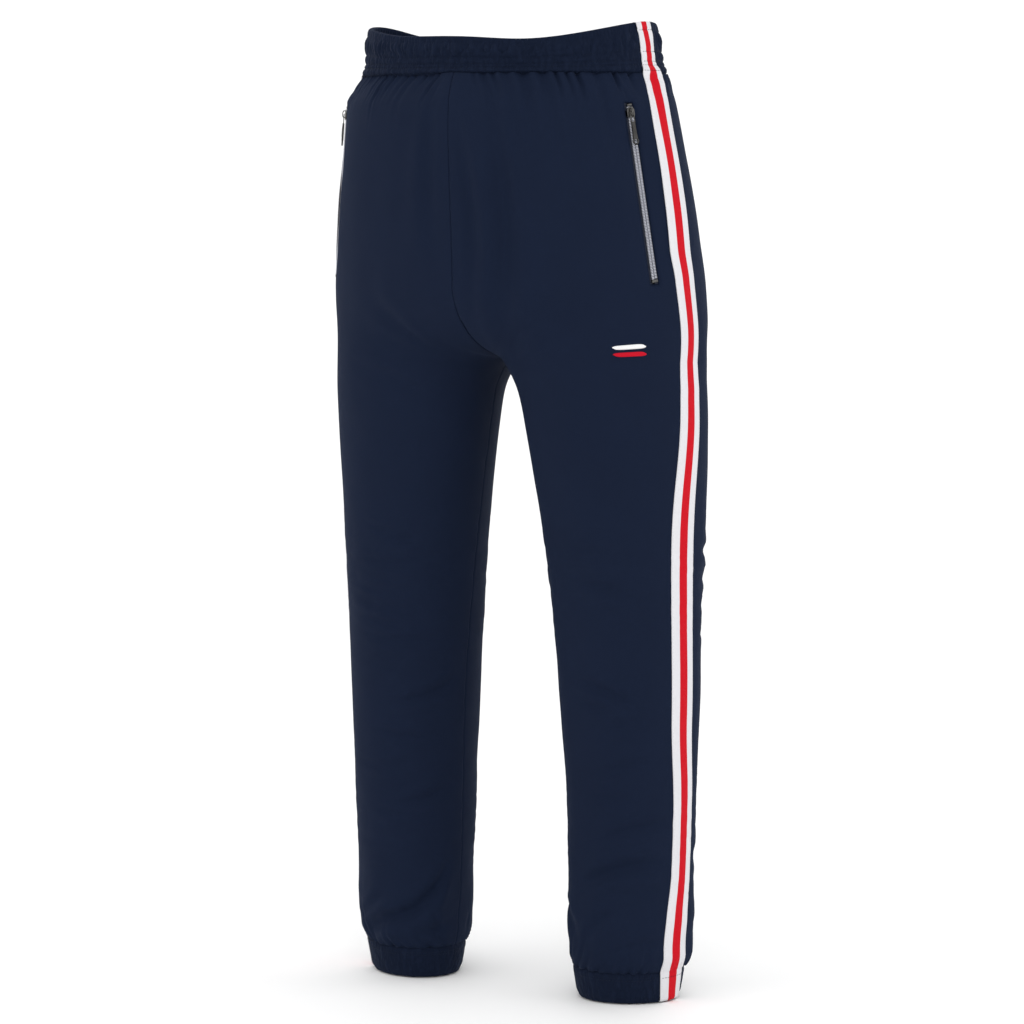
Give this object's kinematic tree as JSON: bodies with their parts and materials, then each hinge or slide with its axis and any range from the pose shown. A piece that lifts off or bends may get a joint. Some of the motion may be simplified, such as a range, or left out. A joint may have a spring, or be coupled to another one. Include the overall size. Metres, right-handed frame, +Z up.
{
  "type": "tracksuit trousers",
  "caption": "Navy tracksuit trousers with an elasticated waistband and cuffs, striped side tapes and a zipped pocket on each hip.",
  "frame": {"origin": "middle of the waist opening, level with the top edge at the wearer's sides", "axes": "+X to the wearer's left, -Y to the front, +Z up out of the waist opening"},
  "size_m": [0.424, 0.283, 1.02],
  "materials": {
    "navy_cloth": "brushed tricot, matt",
    "band_cloth": "gathered tricot, matt",
    "elastic": "woven elastic",
    "side_tape": "white, red and white knitted tape",
    "zip_tape": "woven tape",
    "coil": "silver coil",
    "zip_metal": "dark plated",
    "pull_grip": "moulded, satin",
    "lining": "smooth pocket knit",
    "thread_white": "satin stitch",
    "thread_red": "satin stitch"
  },
  "bodies": {
    "garment": {"waistband": "band_cloth", "waist_elastic": "elastic", "front_panel_left": "navy_cloth", "back_panel_left": "navy_cloth", "side_tape_left": "side_tape", "cuff_left": "band_cloth", "cuff_elastic_left": "elastic", "zip_tape_front_left": "zip_tape", "zip_coil_front_left": "coil", "zip_tape_rear_left": "zip_tape", "zip_coil_rear_left": "coil", "zip_top_stop_left": "zip_metal", "zip_bottom_stop_left": "zip_metal", "pocket_bag_outer_left": "lining", "pocket_bag_inner_left": "lining", "front_panel_right": "navy_cloth", "back_panel_right": "navy_cloth", "side_tape_right": "side_tape", "cuff_right": "band_cloth", "cuff_elastic_right": "elastic", "zip_tape_front_right": "zip_tape", "zip_coil_front_right": "coil", "zip_tape_rear_right": "zip_tape", "zip_coil_rear_right": "coil", "zip_top_stop_right": "zip_metal", "zip_bottom_stop_right": "zip_metal", "pocket_bag_outer_right": "lining", "pocket_bag_inner_right": "lining", "mark_bar_upper": "thread_white", "mark_bar_lower": "thread_red"},
    "slider_left": {"zip_slider_left": "zip_metal"},
    "pull_left": {"pull_link_left": "zip_metal", "pull_grip_left": "pull_grip"},
    "slider_right": {"zip_slider_right": "zip_metal"},
    "pull_right": {"pull_link_right": "zip_metal", "pull_grip_right": "pull_grip"}
  },
  "joints": [
    {"name": "zip_left_slide", "type": "slide", "parent": "garment", "child": "slider_left", "axis": [0.1284, 0.0722, -0.9891], "range_m": [0, 0.158]},
    {"name": "pull_left_hinge", "type": "hinge", "parent": "slider_left", "child": "pull_left", "pos_m": [0.17218, -0.05679, -0.09275], "axis": [-0.5412, -0.8306, -0.1309], "range_deg": [0, 150]},
    {"name": "zip_right_slide", "type": "slide", "parent": "garment", "child": "slider_right", "axis": [-0.1284, 0.0722, -0.9891], "range_m": [0, 0.158]},
    {"name": "pull_right_hinge", "type": "hinge", "parent": "slider_right", "child": "pull_right", "pos_m": [-0.17218, -0.05679, -0.09275], "axis": [-0.5412, 0.8306, 0.1309], "range_deg": [0, 150]}
  ]
}
